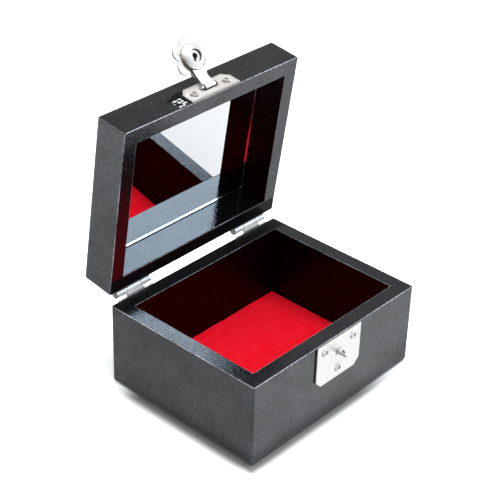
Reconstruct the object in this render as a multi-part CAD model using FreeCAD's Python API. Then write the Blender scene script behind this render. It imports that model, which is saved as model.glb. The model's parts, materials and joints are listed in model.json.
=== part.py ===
import FreeCAD, Part
import math
import os

# A small lacquered jewellery box with a mirror in its lid, shown open.
# Millimetres. +Z is up, the clasp is on the -Y side, the hinges are on the +Y side.
# The origin is the centre of the underside.
# Every piece is first made with the box closed. The lid's pieces are then swung open
# about the hinge pins, and the clasp's strap and knob are folded back about their own pin.

# Overall box
box_width = 105.0
box_depth = 83.5
base_height = 40.8
lid_height = 17.0
edge_round = 2.2
corner_round = 0.8
rim_round = 0.3

# Boards
base_wall = 7.3
lid_wall = 7.3
bottom_board = 4.8
lid_panel = 1.8
lid_panel_ledge = 3.5

# Lining and mirror
felt_thickness = 1.4
felt_clearance = 0.15
mirror_thickness = 1.0
mirror_clearance = 0.3
mirror_edge_bevel = 0.35
adhesive_thickness = 0.2
adhesive_margin = 6.0

# How far the moving pieces stand open
lid_open_angle = 82.0
strap_open_angle = 134.5
knob_turn_left = 28.7

# Hinges
hinge_end_margin = 5.0
hinge_knuckle_outer = 5.8
hinge_knuckle_middle = 8.0
hinge_knuckle_gap = 0.2
hinge_sheet = 0.8
hinge_pin_radius = 1.1
hinge_running_clearance = 0.05
hinge_groove = 0.35
hinge_axis_rise = 1.8
hinge_tongue_width = 10.0
hinge_tongue_rise = 1.3
hinge_leaf_length = 10.0
hinge_pin_head = 0.3
hinge_pin_head_radius = 1.5
hinge_screw_spread = 11.0
hinge_screw_from_edge = 3.2

# Screws
screw_head_radius = 2.25
screw_head_height = 0.9
screw_shank_radius = 0.9
screw_length = 5.0
screw_clearance = 0.03
screw_recess_width = 0.55
screw_recess_depth = 0.5
small_head_radius = 1.7

# Catch plate on the base
clasp_offset = 0.5
clasp_sheet = 0.75
rim_gap = 0.1
catch_plate_width = 28.8
catch_plate_drop = 21.5
catch_plate_chamfer = 3.2
catch_screw_spread = 18.6
catch_screw_drop = 4.2
catch_screw_below_pin = 8.2

# Catch pin
catch_pin_radius = 1.1
catch_collar_radius = 1.75
catch_collar_height = 0.5
catch_pin_in_wall = 3.0
catch_lug_reach = 2.3
catch_lug_width = 1.2
catch_lug_length = 1.3

# Hasp plate on the lid
hasp_plate_width = 28.6
hasp_plate_depth = 9.2
hasp_plate_chamfer = 3.0
hasp_screw_spread = 19.4
hasp_screw_rise = 4.1
hasp_ear_height = 0.9
hasp_slot_reach = 1.6

# Hasp pin and strap
hasp_pin_radius = 0.5
hasp_pin_rise = 5.0
hasp_pin_head = 0.3
hasp_pin_head_radius = 0.7
hasp_pin_head_gap = 0.05
strap_running_clearance = 0.05
strap_side_gap = 0.85
strap_width = 5.9
strap_neck_width = 7.7
strap_sheet = 0.8
strap_eye_wall = 0.65
strap_first_run = 5.0
strap_second_run = 8.8
strap_crank = 22.0

# Drum, cam and rosette on the strap
drum_radius = 5.8
drum_hole_radius = 2.88
drum_rim_height = 0.8
drum_sheet = 0.5
drum_lip = 0.25
drum_crown = 0.18
drum_gap = 0.12
turning_clearance = 0.05
hub_cavity_clearance = 0.15
hub_wall = 0.55
cam_flange = 0.5
cam_thickness = 0.9
cam_gap = 0.1
keyhole_clearance = 0.3
rosette_gap = 0.3
rosette_sheet = 0.8
rosette_lobes = 6
rosette_lobe_radius = 3.65
rosette_lobe_circle = 6.3
rosette_phase = 86.0
rosette_bead_radius = 1.5
rosette_bead_rise = 0.2
rosette_boss_wall = 0.7
rosette_tip_clearance = 0.3

# Mother-of-pearl
pearl_thickness = 0.12
pearl_seam = 0.5
flower_gap = 1.6
flower_count = 3
flower_spacing = 24.0
flower_heart_radius = 1.1
petal_length = 4.9
petal_width = 4.0
leaf_length = 7.0
leaf_width = 2.8
leaf_angle = 38.0
stem_width = 0.7
sprig_length = 7.0
branch_sway = 6.0
chip_size = 1.3
chip_spacing = 1.9

# Places that follow from the sizes above
hasp_pin_out = clasp_sheet + hasp_pin_head_radius + hasp_pin_head_gap
y_front = -box_depth / 2
y_back = box_depth / 2
lid_top = base_height + lid_height
knuckle_radius = hinge_pin_radius + hinge_running_clearance + hinge_sheet
hinge_length = 2 * hinge_knuckle_outer + hinge_knuckle_middle + 2 * hinge_knuckle_gap
hinge_centre = box_width / 2 - hinge_end_margin - hinge_length / 2
hinge_y = y_back + hinge_sheet + hinge_groove + knuckle_radius
hinge_z = base_height + hinge_axis_rise
mirror_back = lid_top - lid_panel - adhesive_thickness

crank = math.radians(strap_crank)
strap_drop = strap_first_run * math.cos(crank) + strap_second_run
hasp_pin_z = base_height + hasp_pin_rise
knob_z = hasp_pin_z - strap_drop
strap_middle = hasp_pin_out + strap_first_run * math.sin(crank)
strap_inner = strap_middle - strap_sheet / 2
strap_outer = strap_middle + strap_sheet / 2
drum_height = strap_inner - clasp_sheet - drum_gap
cam_back = strap_inner - cam_gap
cam_face = cam_back - cam_thickness
lug_start = cam_back + hub_cavity_clearance
lug_end = lug_start + catch_lug_length
catch_pin_end = lug_end + catch_pin_radius
hub_bore = catch_lug_reach + hub_cavity_clearance
hub_radius = hub_bore + hub_wall
cam_radius = hub_radius + turning_clearance + cam_flange
rosette_start = strap_outer + rosette_gap
rosette_end = rosette_start + rosette_sheet

up = FreeCAD.Vector(0, 0, 1)
right = FreeCAD.Vector(1, 0, 0)
back = FreeCAD.Vector(0, 1, 0)
hinge_axis = FreeCAD.Vector(0, hinge_y, hinge_z)
strap_axis = FreeCAD.Vector(clasp_offset, y_front - hasp_pin_out, hasp_pin_z)


# Simple shapes
def block(x_range, y_range, z_range):
    size = [high - low for low, high in (x_range, y_range, z_range)]
    corner = FreeCAD.Vector(x_range[0], y_range[0], z_range[0])
    return Part.makeBox(size[0], size[1], size[2], corner)


def centred(width):
    return (-width / 2, width / 2)


def shifted(pair, offset):
    return (pair[0] + offset, pair[1] + offset)


def rod_along_x(radius, x_range, y, z):
    start = FreeCAD.Vector(x_range[0], y, z)
    return Part.makeCylinder(radius, x_range[1] - x_range[0], start, right)


# A point "out" from the front face lies that far in front of it.
def out_range(near, far):
    return (y_front - far, y_front - near)


def rod_out(radius, near, far, x, z):
    start = FreeCAD.Vector(x, y_front - far, z)
    return Part.makeCylinder(radius, far - near, start, back)


def sheet_on_front(points, near, far):
    corners = [FreeCAD.Vector(x, y_front - far, z) for x, z in points]
    outline = Part.makePolygon(corners + corners[:1])
    return Part.Face(outline).extrude(back * (far - near))


def joined(shapes):
    whole = shapes[0]
    for shape in shapes[1:]:
        whole = whole.fuse(shape)
    return whole.removeSplitter()


def is_upright(edge):
    first, last = edge.Vertexes[0].Point, edge.Vertexes[-1].Point
    return abs(first.x - last.x) < 0.001 and abs(first.y - last.y) < 0.001


def edges_at_height(shape, z):
    return [e for e in shape.Edges if all(abs(v.Z - z) < 0.001 for v in e.Vertexes)]


# An open shell with rounded corners, one rounded level (its underside or its top) and softened rims.
# The boards are cut from it, so that their shared outside runs on without a step.
def rounded_shell(low, high, round_level, wall, floor_level):
    body = block(centred(box_width), centred(box_depth), (low, high))
    body = body.makeFillet(corner_round, [e for e in body.Edges if is_upright(e)])
    body = body.makeFillet(edge_round, edges_at_height(body, round_level))
    inside = (centred(box_width - 2 * wall), centred(box_depth - 2 * wall))
    body = body.cut(block(inside[0], inside[1], sorted((floor_level, base_height))))
    return body.makeFillet(rim_round, edges_at_height(body, base_height))


# Screws with a domed head and a cross recess, made along +Z and then laid on a face
def pan_head_screw(head_radius):
    crown = head_radius * head_radius / (2 * screw_head_height) + screw_head_height / 2
    ball = Part.makeSphere(crown, FreeCAD.Vector(0, 0, screw_head_height - crown))
    head = Part.makeCylinder(head_radius, screw_head_height).common(ball)
    shank = Part.makeCylinder(screw_shank_radius, screw_length, FreeCAD.Vector(0, 0, -screw_length))
    recess_floor = screw_head_height - screw_recess_depth
    arm = centred(head_radius)
    slot = centred(screw_recess_width)
    recess = block(arm, slot, (recess_floor, screw_head_height))
    recess = recess.fuse(block(slot, arm, (recess_floor, screw_head_height)))
    return head.fuse(shank).cut(recess)


# Screw places are given as points on a plate's face, with the way that the head looks
def screw_at(place, look, head_radius, turn):
    screw = pan_head_screw(head_radius)
    screw.rotate(FreeCAD.Vector(0, 0, 0), up, turn)
    screw.Placement = FreeCAD.Placement(place, FreeCAD.Rotation(up, look)) * screw.Placement
    return screw


def screw_hole(place, look):
    start = place - look * (screw_length + screw_clearance)
    length = screw_length + 2 * screw_clearance
    return Part.makeCylinder(screw_shank_radius + screw_clearance, length, start, look)


def catch_screw_places():
    y = y_front - clasp_sheet
    top = base_height - catch_screw_drop
    half = catch_screw_spread / 2
    return [
        FreeCAD.Vector(clasp_offset - half, y, top),
        FreeCAD.Vector(clasp_offset + half, y, top),
        FreeCAD.Vector(clasp_offset, y, knob_z - catch_screw_below_pin),
    ]


def hasp_screw_places():
    y = y_front - clasp_sheet
    z = base_height + hasp_screw_rise
    return [FreeCAD.Vector(clasp_offset + side * hasp_screw_spread / 2, y, z) for side in (-1, 1)]


def hinge_screw_places(side, direction):
    edge = base_height if direction < 0 else hinge_z + knuckle_radius - hinge_sheet
    z = edge + direction * (hinge_leaf_length - hinge_screw_from_edge)
    xs = [side * hinge_centre + end * hinge_screw_spread / 2 for end in (-1, 1)]
    return [FreeCAD.Vector(x, y_back + hinge_sheet, z) for x in xs]


def drilled(shape, places, look):
    for place in places:
        shape = shape.cut(screw_hole(place, look))
    return shape


def both_hinges(direction):
    return hinge_screw_places(-1, direction) + hinge_screw_places(1, direction)


# Boards of the base: front and back run the full width, the sides stand between them
def base_shell():
    return rounded_shell(0, base_height, 0, base_wall, bottom_board)


def base_front_wall():
    slab = block(centred(box_width), (y_front, y_front + base_wall), (bottom_board, base_height))
    wall = base_shell().common(slab)
    pin_hole_radius = catch_pin_radius + screw_clearance
    pin_hole = rod_out(pin_hole_radius, -catch_pin_in_wall - screw_clearance, 0, clasp_offset, knob_z)
    return drilled(wall.cut(pin_hole), catch_screw_places(), -back)


def base_back_wall():
    slab = block(centred(box_width), (y_back - base_wall, y_back), (bottom_board, base_height))
    return drilled(base_shell().common(slab), both_hinges(-1), back)


def base_side_wall(side):
    x_range = sorted((side * box_width / 2, side * (box_width / 2 - base_wall)))
    slab = block(x_range, centred(box_depth - 2 * base_wall), (bottom_board, base_height))
    return base_shell().common(slab)


def base_bottom_board():
    slab = block(centred(box_width), centred(box_depth), (0, bottom_board))
    return base_shell().common(slab)


def felt_floor_pad():
    width = box_width - 2 * base_wall - 2 * felt_clearance
    depth = box_depth - 2 * base_wall - 2 * felt_clearance
    return block(centred(width), centred(depth), (bottom_board, bottom_board + felt_thickness))


# Boards of the lid: walls with a ledge at the top, and a thin panel let into the ledge
def panel_pocket():
    width = box_width - 2 * (lid_wall - lid_panel_ledge)
    depth = box_depth - 2 * (lid_wall - lid_panel_ledge)
    return block(centred(width), centred(depth), (lid_top - lid_panel, lid_top))


def lid_shell():
    return rounded_shell(base_height, lid_top, lid_top, lid_wall, lid_top - lid_panel)


def lid_wall_piece(x_range, y_range):
    return lid_shell().common(block(x_range, y_range, (base_height, lid_top))).cut(panel_pocket())


def lid_front_wall():
    wall = lid_wall_piece(centred(box_width), (y_front, y_front + lid_wall))
    return drilled(wall, hasp_screw_places(), -back)


def lid_back_wall():
    wall = lid_wall_piece(centred(box_width), (y_back - lid_wall, y_back))
    return drilled(wall, both_hinges(1), back)


def lid_side_wall(side):
    x_range = sorted((side * box_width / 2, side * (box_width / 2 - lid_wall)))
    return lid_wall_piece(x_range, centred(box_depth - 2 * lid_wall))


def mirror_size(margin):
    return box_width - 2 * lid_wall - 2 * margin, box_depth - 2 * lid_wall - 2 * margin


def mirror_glass():
    width, depth = mirror_size(mirror_clearance)
    face = mirror_back - mirror_thickness
    glass = block(centred(width), centred(depth), (face, mirror_back))
    return glass.makeChamfer(mirror_edge_bevel, edges_at_height(glass, face))


def mirror_adhesive():
    width, depth = mirror_size(adhesive_margin)
    return block(centred(width), centred(depth), (mirror_back, lid_top - lid_panel))


# Hinges: each leaf is a sheet on the back face, with a web that runs into its knuckles
def hinge_x(side, start, end):
    return (side * hinge_centre + start, side * hinge_centre + end)


def knuckle(x_range, web_low, web_high):
    barrel = rod_along_x(knuckle_radius, x_range, hinge_y, hinge_z)
    web = block(x_range, (y_back, hinge_y), (web_low, web_high))
    return barrel.fuse(web)


def hinge_bore(side):
    radius = hinge_pin_radius + hinge_running_clearance
    return rod_along_x(radius, hinge_x(side, -hinge_length, hinge_length), hinge_y, hinge_z)


def hinge_base_leaf(side):
    sheet_y = (y_back, y_back + hinge_sheet)
    full_x = hinge_x(side, -hinge_length / 2, hinge_length / 2)
    leaf = block(full_x, sheet_y, (base_height - hinge_leaf_length, base_height - rim_gap))
    tongue_x = shifted(centred(hinge_tongue_width), side * hinge_centre)
    tongue = block(tongue_x, sheet_y, (base_height - hinge_leaf_length, base_height + hinge_tongue_rise))
    middle_x = shifted(centred(hinge_knuckle_middle), side * hinge_centre)
    low = hinge_z - knuckle_radius
    whole = joined([leaf, tongue, knuckle(middle_x, low, low + hinge_sheet)])
    return drilled(whole.cut(hinge_bore(side)), hinge_screw_places(side, -1), back)


def hinge_lid_leaf(side):
    high = hinge_z + knuckle_radius
    low = high - hinge_sheet
    full_x = hinge_x(side, -hinge_length / 2, hinge_length / 2)
    leaf = block(full_x, (y_back, y_back + hinge_sheet), (low, low + hinge_leaf_length))
    reach = hinge_length / 2
    left = knuckle(hinge_x(side, -reach, hinge_knuckle_outer - reach), low, high)
    other = knuckle(hinge_x(side, reach - hinge_knuckle_outer, reach), low, high)
    whole = joined([leaf, left, other]).cut(hinge_bore(side))
    return drilled(whole, hinge_screw_places(side, 1), back)


def hinge_pin(side):
    reach = hinge_length / 2
    end = reach + hinge_pin_head
    pin = rod_along_x(hinge_pin_radius, hinge_x(side, -reach, reach), hinge_y, hinge_z)
    left = rod_along_x(hinge_pin_head_radius, hinge_x(side, -end, -reach), hinge_y, hinge_z)
    other = rod_along_x(hinge_pin_head_radius, hinge_x(side, reach, end), hinge_y, hinge_z)
    return joined([pin, left, other])


def screw_group(places, look, head_radius):
    turns = [20 + 35 * index for index in range(len(places))]
    return Part.makeCompound([screw_at(p, look, head_radius, t) for p, t in zip(places, turns)])


# Catch plate and catch pin on the front wall
def catch_plate():
    low = base_height - catch_plate_drop
    high = base_height - rim_gap
    half = catch_plate_width / 2
    cut = catch_plate_chamfer
    outline = [(-half, high), (half, high), (half, low + cut), (half - cut, low),
               (cut - half, low), (-half, low + cut)]
    points = [(clasp_offset + x, z) for x, z in outline]
    plate = sheet_on_front(points, 0, clasp_sheet)
    hole = rod_out(catch_pin_radius + screw_clearance, 0, clasp_sheet, clasp_offset, knob_z)
    return drilled(plate.cut(hole), catch_screw_places(), -back)


def catch_pin():
    x, z = clasp_offset, knob_z
    stem = rod_out(catch_pin_radius, -catch_pin_in_wall, catch_pin_end, x, z)
    tip = [e for e in stem.Edges if all(abs(v.Y - y_front + catch_pin_end) < 0.001 for v in e.Vertexes)]
    stem = stem.makeFillet(catch_pin_radius * 0.6, tip)
    collar = rod_out(catch_collar_radius, clasp_sheet, clasp_sheet + catch_collar_height, x, z)
    lug_x = shifted(centred(catch_lug_width), x)
    lug = block(lug_x, out_range(lug_start, lug_end), (z, z + catch_lug_reach))
    return joined([stem, collar, lug])


# Hasp plate on the lid, with two ears that hold the hasp pin
def hasp_slot_half():
    return strap_width / 2 + strap_side_gap


def hasp_ear(side):
    inner = hasp_slot_half()
    x_range = sorted((side * inner, side * (inner + clasp_sheet)))
    x_range = shifted(x_range, clasp_offset)
    y = y_front - hasp_pin_out
    post = block(x_range, out_range(0, hasp_pin_out), shifted(centred(2 * hasp_ear_height), hasp_pin_z))
    return post.fuse(rod_along_x(hasp_ear_height, x_range, y, hasp_pin_z))


def hasp_plate():
    low = base_height + rim_gap
    high = base_height + hasp_plate_depth
    half = hasp_plate_width / 2
    cut = hasp_plate_chamfer
    outline = [(-half, low), (half, low), (half, high - cut), (half - cut, high),
               (cut - half, high), (-half, high - cut)]
    plate = sheet_on_front([(clasp_offset + x, z) for x, z in outline], 0, clasp_sheet)
    slot_x = shifted(centred(2 * hasp_slot_half()), clasp_offset)
    slot_z = (hasp_pin_z - hasp_slot_reach, hasp_pin_z + hasp_slot_reach)
    plate = plate.cut(block(slot_x, out_range(0, clasp_sheet), slot_z))
    whole = joined([plate, hasp_ear(-1), hasp_ear(1)])
    bore_x = shifted(centred(hasp_plate_width), clasp_offset)
    bore = rod_along_x(hasp_pin_radius + strap_running_clearance, bore_x, strap_axis.y, hasp_pin_z)
    return drilled(whole.cut(bore), hasp_screw_places(), -back)


def hasp_pin():
    reach = hasp_slot_half() + clasp_sheet
    end = reach + hasp_pin_head
    y, z = strap_axis.y, strap_axis.z
    pin = rod_along_x(hasp_pin_radius, shifted((-reach, reach), clasp_offset), y, z)
    left = rod_along_x(hasp_pin_head_radius, shifted((-end, -reach), clasp_offset), y, z)
    other = rod_along_x(hasp_pin_head_radius, shifted((reach, end), clasp_offset), y, z)
    return joined([pin, left, other])


# Strap: an eye on the hasp pin, a short run outwards, a crank, and a run down to a round end
def hasp_strap():
    x_range = shifted(centred(strap_width), clasp_offset)
    y, z = strap_axis.y, strap_axis.z
    eye_bore = hasp_pin_radius + strap_running_clearance
    eye = rod_along_x(eye_bore + strap_eye_wall, x_range, y, z)
    thick = centred(strap_sheet)
    first = block(x_range, shifted(thick, y), (z - strap_first_run, z))
    first.rotate(strap_axis, right, -strap_crank)
    bend_z = z - strap_first_run * math.cos(crank)
    bend = rod_along_x(strap_sheet / 2, x_range, y_front - strap_middle, bend_z)
    half = strap_width / 2
    neck = strap_neck_width / 2
    neck_z = knob_z + drum_radius * 0.7
    outline = [(-half, bend_z), (half, bend_z), (neck, neck_z), (neck, knob_z), (-neck, knob_z),
               (-neck, neck_z)]
    run = sheet_on_front([(clasp_offset + px, pz) for px, pz in outline], strap_inner, strap_outer)
    disc = rod_out(drum_radius, strap_inner, strap_outer, clasp_offset, knob_z)
    hub_hole = rod_out(hub_radius + turning_clearance, strap_inner, strap_outer, clasp_offset, knob_z)
    whole = joined([eye, first, bend, run, disc])
    bore = rod_along_x(eye_bore, x_range, y, z)
    return whole.cut(bore).cut(hub_hole)


# Profiles turned about the knob's axis: r across, n out from the front face
def turned(points):
    corners = [FreeCAD.Vector(clasp_offset + r, y_front - n, knob_z) for r, n in points]
    outline = Part.makePolygon(corners + corners[:1])
    centre = FreeCAD.Vector(clasp_offset, y_front, knob_z)
    return Part.Face(outline).revolve(centre, back, 360)


def arc_points(start, end, bulge, steps):
    points = []
    for step in range(steps + 1):
        share = step / steps
        lift = bulge * 4 * share * (1 - share)
        r = start[0] + (end[0] - start[0]) * share + lift
        n = start[1] + (end[1] - start[1]) * share - lift
        points.append((r, n))
    return points


# Drum: a domed ring brazed on the strap round the keyhole
def lock_drum():
    face = strap_inner - drum_height
    rim = strap_inner - drum_rim_height
    lip = drum_hole_radius + drum_lip
    inner = drum_radius - drum_sheet
    dome = arc_points((drum_radius, rim), (lip, face), drum_crown, 6)
    edge = [(drum_hole_radius, face + drum_lip), (drum_hole_radius, face + drum_sheet)]
    under = arc_points((lip, face + drum_sheet), (inner, rim + drum_sheet / 2), drum_crown, 6)
    return turned([(drum_radius, strap_inner)] + dome + edge + under[1:] + [(inner, strap_inner)])


# Cam: a keyhole disc behind the drum's opening, on a hub that passes through the strap
def lock_cam():
    disc = rod_out(cam_radius, cam_face, cam_back, clasp_offset, knob_z)
    hub = rod_out(hub_radius, cam_back, rosette_end, clasp_offset, knob_z)
    hollow = rod_out(hub_bore, cam_back, rosette_end, clasp_offset, knob_z)
    round_hole = rod_out(catch_pin_radius + keyhole_clearance, cam_face, cam_back, clasp_offset, knob_z)
    slot_x = shifted(centred(catch_lug_width + keyhole_clearance), clasp_offset)
    slot = block(slot_x, out_range(cam_face, cam_back), (knob_z, knob_z + hub_bore))
    cam = joined([disc, hub]).cut(hollow).cut(round_hole).cut(slot)
    cam.rotate(FreeCAD.Vector(clasp_offset, y_front, knob_z), back, -knob_turn_left)
    return cam


# Rosette: lobes round a plate, each with a bead on both faces, and a hollow boss over the pin's tip
def knob_point(angle, circle):
    return clasp_offset + circle * math.cos(angle), knob_z - circle * math.sin(angle)


def bead(x, z):
    sink = rosette_bead_radius - rosette_bead_rise
    near = Part.makeSphere(rosette_bead_radius, FreeCAD.Vector(x, y_front - rosette_start - sink, z))
    far = Part.makeSphere(rosette_bead_radius, FreeCAD.Vector(x, y_front - rosette_end + sink, z))
    return near.common(far)


def rosette_knob():
    pieces = [rod_out(rosette_lobe_circle, rosette_start, rosette_end, clasp_offset, knob_z)]
    for index in range(rosette_lobes):
        angle = math.radians(rosette_phase - index * 360 / rosette_lobes)
        x, z = knob_point(angle, rosette_lobe_circle)
        pieces.append(rod_out(rosette_lobe_radius, rosette_start, rosette_end, x, z))
        bead_x, bead_z = knob_point(angle, rosette_lobe_circle + rosette_lobe_radius / 2)
        pieces.append(bead(bead_x, bead_z))
    boss_end = catch_pin_end + rosette_tip_clearance
    boss_radius = hub_radius + rosette_boss_wall
    boss = rod_out(boss_radius, rosette_start, boss_end + rosette_boss_wall, clasp_offset, knob_z)
    seat = rod_out(hub_radius + turning_clearance, rosette_start, rosette_end, clasp_offset, knob_z)
    hollow = rod_out(hub_bore, rosette_end, boss_end, clasp_offset, knob_z)
    return joined(pieces + [boss]).cut(seat).cut(hollow)


# Mother-of-pearl: thin pieces laid on the lacquer, drawn flat and then set in place
def flat_shape(points):
    corners = [FreeCAD.Vector(x, y, 0) for x, y in points]
    outline = Part.makePolygon(corners + corners[:1])
    return Part.Face(outline).extrude(up * pearl_thickness)


def petal(length, width, start):
    steps = 12
    points = []
    for step in range(steps):
        angle = math.radians(360 * step / steps)
        swell = 1 + 0.25 * math.cos(angle)
        points.append((start + length / 2 * (1 + math.cos(angle)), width / 2 * math.sin(angle) * swell))
    return flat_shape(points)


def turned_to(shape, degrees, x, y):
    shape.rotate(FreeCAD.Vector(0, 0, 0), up, degrees)
    shape.translate(FreeCAD.Vector(x, y, 0))
    return shape


def flower(x, y, phase):
    heart = Part.makeCylinder(flower_heart_radius, pearl_thickness, FreeCAD.Vector(x, y, 0))
    petals = [petal(petal_length, petal_width, flower_heart_radius + pearl_seam) for _ in range(5)]
    return [heart] + [turned_to(p, phase + 72 * index, x, y) for index, p in enumerate(petals)]


def leaf(x, y, degrees):
    steps = 10
    upper = []
    for step in range(steps + 1):
        share = step / steps
        upper.append((leaf_length * share, leaf_width / 2 * math.sin(math.pi * share ** 0.8)))
    lower = [(px, -py) for px, py in reversed(upper[1:-1])]
    return turned_to(flat_shape(upper + lower), degrees, x, y)


# The branch sways once from end to end
def branch_y(x):
    return branch_sway * math.sin(math.pi * x / flower_spacing)


def stem(start, end):
    steps = 6
    xs = [start + (end - start) * step / steps for step in range(steps + 1)]
    upper = [(x, branch_y(x) + stem_width / 2) for x in xs]
    lower = [(x, branch_y(x) - stem_width / 2) for x in reversed(xs)]
    return flat_shape(upper + lower)


def sprig(start, end):
    middle = (start + end) / 2
    slope = math.degrees(math.atan2(branch_y(end) - branch_y(start), end - start))
    pieces = [stem(start, end)]
    for side in (-1, 1):
        foot = side * (stem_width / 2 + pearl_seam)
        pieces.append(leaf(middle, branch_y(middle) + foot, slope + side * leaf_angle))
    return pieces


def pearl_inlay_top():
    reach = flower_heart_radius + pearl_seam + petal_length + flower_gap
    xs = [flower_spacing * (index - (flower_count - 1) / 2) for index in range(flower_count)]
    pieces = []
    for index, x in enumerate(xs):
        pieces += flower(x, branch_y(x), 18 + 25 * index)
    for x, next_x in zip(xs, xs[1:]):
        pieces += sprig(x + reach, next_x - reach)
    pieces += sprig(xs[0] - reach - sprig_length, xs[0] - reach)
    pieces += sprig(xs[-1] + reach, xs[-1] + reach + sprig_length)
    for piece in pieces:
        piece.translate(FreeCAD.Vector(0, 0, lid_top))
    return Part.makeCompound(pieces)


# Chips beside the hasp plate: steps away from its side, steps up from the rim, and turn
chip_places = [(2.85, 3.05, 10), (1.8, 2.65, 70), (1.1, 2.0, 130), (0.95, 1.25, 35),
               (2.95, 0.9, 80), (1.95, 0.75, 150), (4.15, 4.25, 20)]


def pearl_chips_front():
    plate_side = clasp_offset - hasp_plate_width / 2
    chips = []
    for away, rise, degrees in chip_places:
        x = plate_side - away * chip_spacing
        chip = turned_to(petal(chip_size, chip_size * 0.6, 0), degrees, x, base_height + rise * chip_spacing)
        chip.rotate(FreeCAD.Vector(0, 0, 0), right, 90)
        chip.translate(FreeCAD.Vector(0, y_front, 0))
        chips.append(chip)
    return Part.makeCompound(chips)


# Bodies and their pose
def with_lid(shape):
    shape.rotate(hinge_axis, right, -lid_open_angle)
    return shape


def with_strap(shape):
    shape.rotate(strap_axis, right, -strap_open_angle)
    return with_lid(shape)


base_pieces = {
    "base_front_wall": base_front_wall(),
    "base_back_wall": base_back_wall(),
    "base_left_wall": base_side_wall(-1),
    "base_right_wall": base_side_wall(1),
    "base_bottom_board": base_bottom_board(),
    "felt_floor_pad": felt_floor_pad(),
    "catch_plate": catch_plate(),
    "catch_plate_screws": screw_group(catch_screw_places(), -back, screw_head_radius),
    "catch_pin": catch_pin(),
    "hinge_base_leaf_left": hinge_base_leaf(-1),
    "hinge_base_leaf_right": hinge_base_leaf(1),
    "hinge_base_screws": screw_group(both_hinges(-1), back, small_head_radius),
    "hinge_pin_left": hinge_pin(-1),
    "hinge_pin_right": hinge_pin(1),
}

lid_pieces = {
    "lid_front_wall": lid_front_wall(),
    "lid_back_wall": lid_back_wall(),
    "lid_left_wall": lid_side_wall(-1),
    "lid_right_wall": lid_side_wall(1),
    "lid_top_board": lid_shell().common(panel_pocket()),
    "mirror_glass": mirror_glass(),
    "mirror_adhesive": mirror_adhesive(),
    "hinge_lid_leaf_left": hinge_lid_leaf(-1),
    "hinge_lid_leaf_right": hinge_lid_leaf(1),
    "hinge_lid_screws": screw_group(both_hinges(1), back, small_head_radius),
    "hasp_plate": hasp_plate(),
    "hasp_plate_screws": screw_group(hasp_screw_places(), -back, screw_head_radius),
    "hasp_pin": hasp_pin(),
    "pearl_chips_front": pearl_chips_front(),
    "pearl_inlay_top": pearl_inlay_top(),
}

strap_pieces = {
    "hasp_strap": hasp_strap(),
    "lock_drum": lock_drum(),
    "lock_cam": lock_cam(),
    "rosette_knob": rosette_knob(),
}

os.makedirs("parts", exist_ok=True)
nodes = dict(base_pieces)
nodes.update({name: with_lid(shape) for name, shape in lid_pieces.items()})
nodes.update({name: with_strap(shape) for name, shape in strap_pieces.items()})
for name, shape in nodes.items():
    shape.exportStep(os.path.join("parts", name + ".step"))
    print(name, len(shape.Solids), shape.isValid(), round(shape.Volume, 2))
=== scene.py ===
# %% [markdown]
# # A lacquered jewellery box with a mirror and a turn-knob clasp
# The frame holds every hard piece of the box at its true size, already in its place.
# This lesson dresses it. It gives each piece its finish, and it models four pieces anew that
# need softer or finer forms than the frame has: the silvered mirror, the slivers of shell
# beside the clasp, the felt lining, and the stamped rosette that is the clasp's knob.

# %% Load the frame
import json
import math

import bpy
from mathutils import Matrix, Vector


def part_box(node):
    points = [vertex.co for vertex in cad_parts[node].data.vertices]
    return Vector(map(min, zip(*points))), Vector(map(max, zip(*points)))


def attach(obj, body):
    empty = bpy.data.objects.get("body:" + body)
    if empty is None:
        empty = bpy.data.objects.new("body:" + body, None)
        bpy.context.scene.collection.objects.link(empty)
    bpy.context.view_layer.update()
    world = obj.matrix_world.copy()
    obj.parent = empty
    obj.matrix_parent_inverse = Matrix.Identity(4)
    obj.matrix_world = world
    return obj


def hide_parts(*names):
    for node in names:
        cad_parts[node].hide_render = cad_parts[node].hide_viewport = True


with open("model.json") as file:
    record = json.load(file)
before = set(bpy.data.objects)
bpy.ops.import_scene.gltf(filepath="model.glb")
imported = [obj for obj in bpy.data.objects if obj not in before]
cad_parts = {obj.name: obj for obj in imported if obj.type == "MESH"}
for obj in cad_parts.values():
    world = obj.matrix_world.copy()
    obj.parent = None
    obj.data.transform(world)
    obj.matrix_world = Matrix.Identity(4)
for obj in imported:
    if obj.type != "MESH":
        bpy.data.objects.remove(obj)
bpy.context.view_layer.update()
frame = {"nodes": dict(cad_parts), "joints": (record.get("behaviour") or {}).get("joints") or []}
nodes = frame["nodes"]
bpy.ops.object.select_all(action="DESELECT")
print("pieces in the frame:", len(nodes))

# %% Measures of the box, in millimetres
box_half_width = 52.5
box_half_depth = 41.75
wall = 7.3
opening_half_width = box_half_width - wall
opening_half_depth = box_half_depth - wall
rim_level = 40.8
lid_top_level = 57.8
hinge_place = Vector(next(j for j in frame["joints"] if j["name"] == "lid_hinge")["pos_m"])
lid_swing = math.radians(82.0)
print("hinge line at", [round(v * 1000, 2) for v in hinge_place], "mm")

# %% [markdown]
# ## Where the camera stands
# The box is seen from its front left corner, about two thirds of a metre away and from above.
# A long lens keeps the edges nearly parallel. The turn is written as three simple ones:
# round the table, down towards it, and a slight roll.

# %% Camera
camera_place = (-0.40591, -0.34949, 0.39992)
camera_round = math.radians(-48.52)
camera_down = math.radians(57.92)
camera_roll = math.radians(1.864)
lens_length = 105.89

bpy.ops.object.camera_add(location=camera_place)
camera = bpy.context.object
camera.name = "camera"
turn = Matrix.Rotation(camera_round, 3, "Z") @ Matrix.Rotation(camera_down, 3, "X")
turn = turn @ Matrix.Rotation(camera_roll, 3, "Z")
camera.rotation_euler = turn.to_euler()
camera.data.sensor_width = 36.0
camera.data.lens = lens_length
camera.data.clip_start = 0.01
bpy.context.scene.camera = camera
print("camera stands", round(Vector(camera_place).length, 3), "m from the box's foot")

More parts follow.
